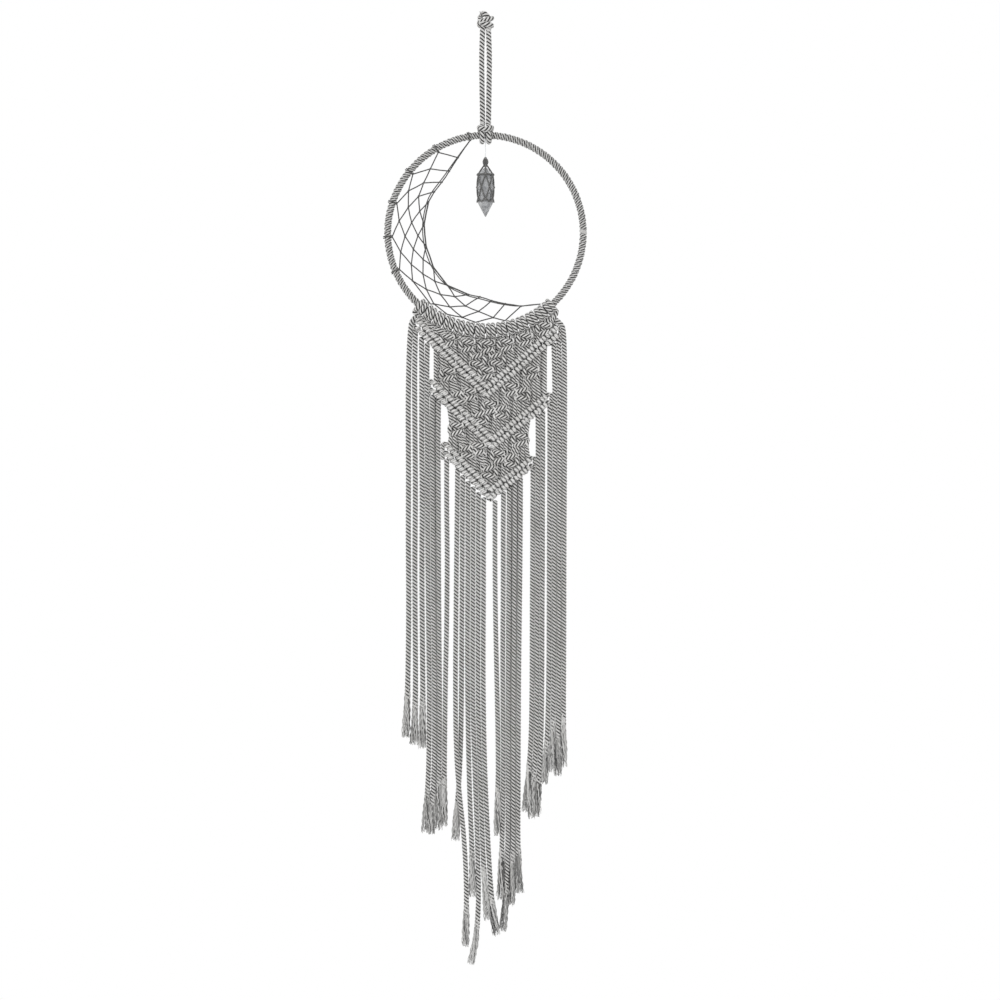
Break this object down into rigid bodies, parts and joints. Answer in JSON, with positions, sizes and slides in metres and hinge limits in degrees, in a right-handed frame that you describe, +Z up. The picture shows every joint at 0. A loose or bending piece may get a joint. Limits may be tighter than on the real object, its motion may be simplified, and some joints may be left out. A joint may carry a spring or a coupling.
{
  "type": "dream catcher",
  "caption": "Crescent-moon macrame dream catcher with a wrapped hoop, a knotted web, a caged crystal pendant, chevron knotting and a long cut fringe, hung from a corded loop.",
  "frame": {"origin": "where a hook holds the hanging loop, between its two legs just under the top knot", "axes": "+Z up, -Y is the front, +X to the right seen from the front"},
  "size_m": [0.2011, 0.0185, 0.9421],
  "materials": {
    "cotton_cord": "matte three-ply twisted cotton",
    "web_cotton": "matte waxed cotton thread",
    "fine_cotton": "matte fine cotton cord",
    "steel_ring": "drawn wire",
    "nylon_line": "clear line",
    "quartz": "clouded polished crystal"
  },
  "bodies": {
    "hanger": {"hanging_knot": "cotton_cord", "hanging_loop_left": "cotton_cord", "hanging_loop_right": "cotton_cord"},
    "hitch": {"hanger_hitch": "cotton_cord"},
    "hoop": {"hoop_ring": "steel_ring", "hoop_wrap": "cotton_cord", "web_net": "web_cotton", "web_knots": "web_cotton", "web_hitches": "web_cotton", "lark_heads": "cotton_cord", "knot_field_top": "cotton_cord", "knot_field_middle": "cotton_cord", "knot_field_bottom": "cotton_cord", "chevron_top_left": "cotton_cord", "chevron_top_right": "cotton_cord", "chevron_middle_left": "cotton_cord", "chevron_middle_right": "cotton_cord", "chevron_bottom_left": "cotton_cord", "chevron_bottom_right": "cotton_cord"},
    "pendant_tie": {"pendant_tie": "nylon_line"},
    "pendant_line": {"pendant_line": "nylon_line"},
    "pendant": {"pendant_knot": "fine_cotton", "crystal_cage": "fine_cotton", "crystal": "quartz"},
    "left_outer_fringe": {"left_outer_strand_1": "cotton_cord", "left_outer_strand_2": "cotton_cord", "left_outer_strand_3": "cotton_cord"},
    "left_inner_fringe": {"left_inner_strand_1": "cotton_cord", "left_inner_strand_2": "cotton_cord", "left_inner_strand_3": "cotton_cord", "left_inner_strand_4": "cotton_cord", "left_inner_strand_5": "cotton_cord"},
    "centre_fringe": {"centre_strand_1": "cotton_cord", "centre_strand_2": "cotton_cord", "centre_strand_3": "cotton_cord", "centre_strand_4": "cotton_cord", "centre_strand_5": "cotton_cord", "centre_strand_6": "cotton_cord", "centre_strand_7": "cotton_cord", "centre_strand_8": "cotton_cord", "centre_strand_9": "cotton_cord", "centre_strand_10": "cotton_cord", "centre_strand_11": "cotton_cord", "centre_strand_12": "cotton_cord", "centre_strand_13": "cotton_cord"},
    "right_inner_fringe": {"right_inner_strand_1": "cotton_cord", "right_inner_strand_2": "cotton_cord", "right_inner_strand_3": "cotton_cord"},
    "right_outer_fringe": {"right_outer_strand_1": "cotton_cord", "right_outer_strand_2": "cotton_cord", "right_outer_strand_3": "cotton_cord", "right_outer_strand_4": "cotton_cord"}
  },
  "joints": [
    {"name": "hanger_swivel", "type": "hinge", "parent": "hanger", "child": "hitch", "pos_m": [0, 0, -0.0922], "axis": [0, 0, 1], "range_deg": [-90, 90]},
    {"name": "hoop_tilt", "type": "hinge", "parent": "hitch", "child": "hoop", "pos_m": [0, 0, -0.1037], "axis": [1, 0, 0], "range_deg": [-25, 25]},
    {"name": "pendant_swing", "type": "hinge", "parent": "hoop", "child": "pendant_tie", "pos_m": [0, 0, -0.1037], "axis": [1, 0, 0], "range_deg": [-35, 35]},
    {"name": "pendant_sway", "type": "hinge", "parent": "pendant_tie", "child": "pendant_line", "pos_m": [0, 0, -0.1136], "axis": [0, 1, 0], "range_deg": [-25, 25]},
    {"name": "pendant_spin", "type": "hinge", "parent": "pendant_line", "child": "pendant", "pos_m": [0, 0, -0.1252], "axis": [0, 0, 1], "continuous": true},
    {"name": "left_outer_sway", "type": "hinge", "parent": "hoop", "child": "left_outer_fringe", "pos_m": [-0.069, 0, -0.309], "axis": [1, 0, 0], "range_deg": [-20, 20]},
    {"name": "left_inner_sway", "type": "hinge", "parent": "hoop", "child": "left_inner_fringe", "pos_m": [-0.05, 0.0009, -0.429], "axis": [1, 0, 0], "range_deg": [-20, 20]},
    {"name": "centre_sway", "type": "hinge", "parent": "hoop", "child": "centre_fringe", "pos_m": [0, 0.0006, -0.47], "axis": [1, 0, 0], "range_deg": [-20, 20]},
    {"name": "right_inner_sway", "type": "hinge", "parent": "hoop", "child": "right_inner_fringe", "pos_m": [0.0515, 0, -0.438], "axis": [1, 0, 0], "range_deg": [-20, 20]},
    {"name": "right_outer_sway", "type": "hinge", "parent": "hoop", "child": "right_outer_fringe", "pos_m": [0.07, 0, -0.376], "axis": [1, 0, 0], "range_deg": [-20, 20]}
  ]
}
